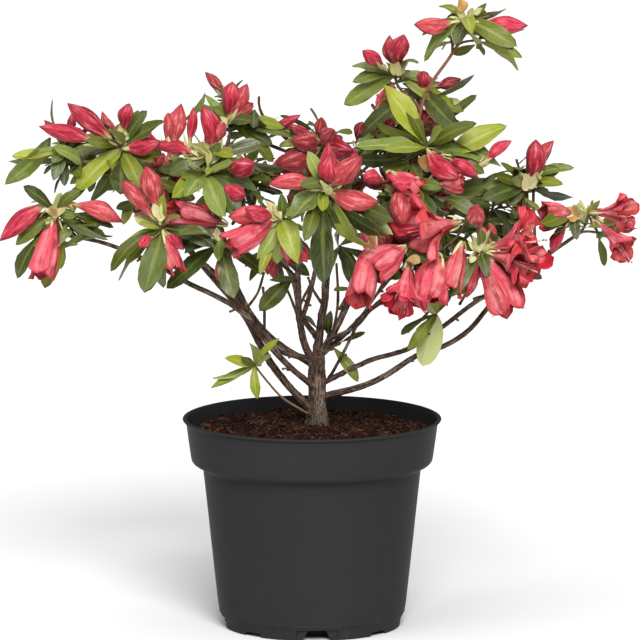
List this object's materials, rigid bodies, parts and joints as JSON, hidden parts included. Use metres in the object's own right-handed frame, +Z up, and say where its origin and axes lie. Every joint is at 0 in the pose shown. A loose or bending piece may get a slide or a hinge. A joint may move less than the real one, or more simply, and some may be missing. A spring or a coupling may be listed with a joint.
{
  "type": "potted azalea shrub",
  "caption": "Evergreen azalea shrub with a short forked trunk, spreading boughs and a loose crown of leaf and blossom, planted in a round tapered nursery pot.",
  "frame": {"origin": "centre of the pot's flat underside, on the pot's own axis", "axes": "+Z up along the pot's axis, +X to the right of the plant seen from its front, +Y from front to back"},
  "size_m": [0.468, 0.264, 0.469],
  "materials": {
    "pot_plastic": "satin",
    "peat": "matte",
    "bark": "matte",
    "leaf": "matte",
    "blossom": "matte"
  },
  "bodies": {
    "root": {"pot": "pot_plastic", "soil": "peat", "crest": "blossom", "upper_spray": "blossom", "upper_mid": "leaf", "top_left": "leaf", "low_left": "blossom", "left_mid": "leaf", "left_top": "leaf", "left_peak": "blossom", "centre_left": "leaf", "centre": "leaf", "centre_back": "leaf", "centre_right": "blossom", "bloom_low": "blossom", "right_mid": "blossom", "right_top": "blossom", "far_right": "blossom", "sprig_low_right": "leaf", "sprig_low_left": "leaf", "back_high": "leaf", "back_left": "leaf", "back_mid_left": "leaf", "back_mid": "leaf", "back_mid_right": "leaf", "back_right": "leaf", "trunk": "bark", "stem_centre": "bark", "stem_right": "bark", "stem_left": "bark", "stem_front": "bark", "bough_left": "bark", "bough_left_fork": "bark", "bough_low_left": "bark", "bough_left_rear": "bark", "bough_right": "bark", "bough_low_right": "bark", "twig_right": "bark", "bough_mid_right": "bark", "shoot_left": "bark", "shoot_right": "bark", "stem_top": "bark", "bough_back_left": "bark", "bough_back_mid_left": "bark", "bough_back_mid": "bark", "bough_back_mid_right": "bark", "bough_back_right": "bark"}
  },
  "joints": []
}
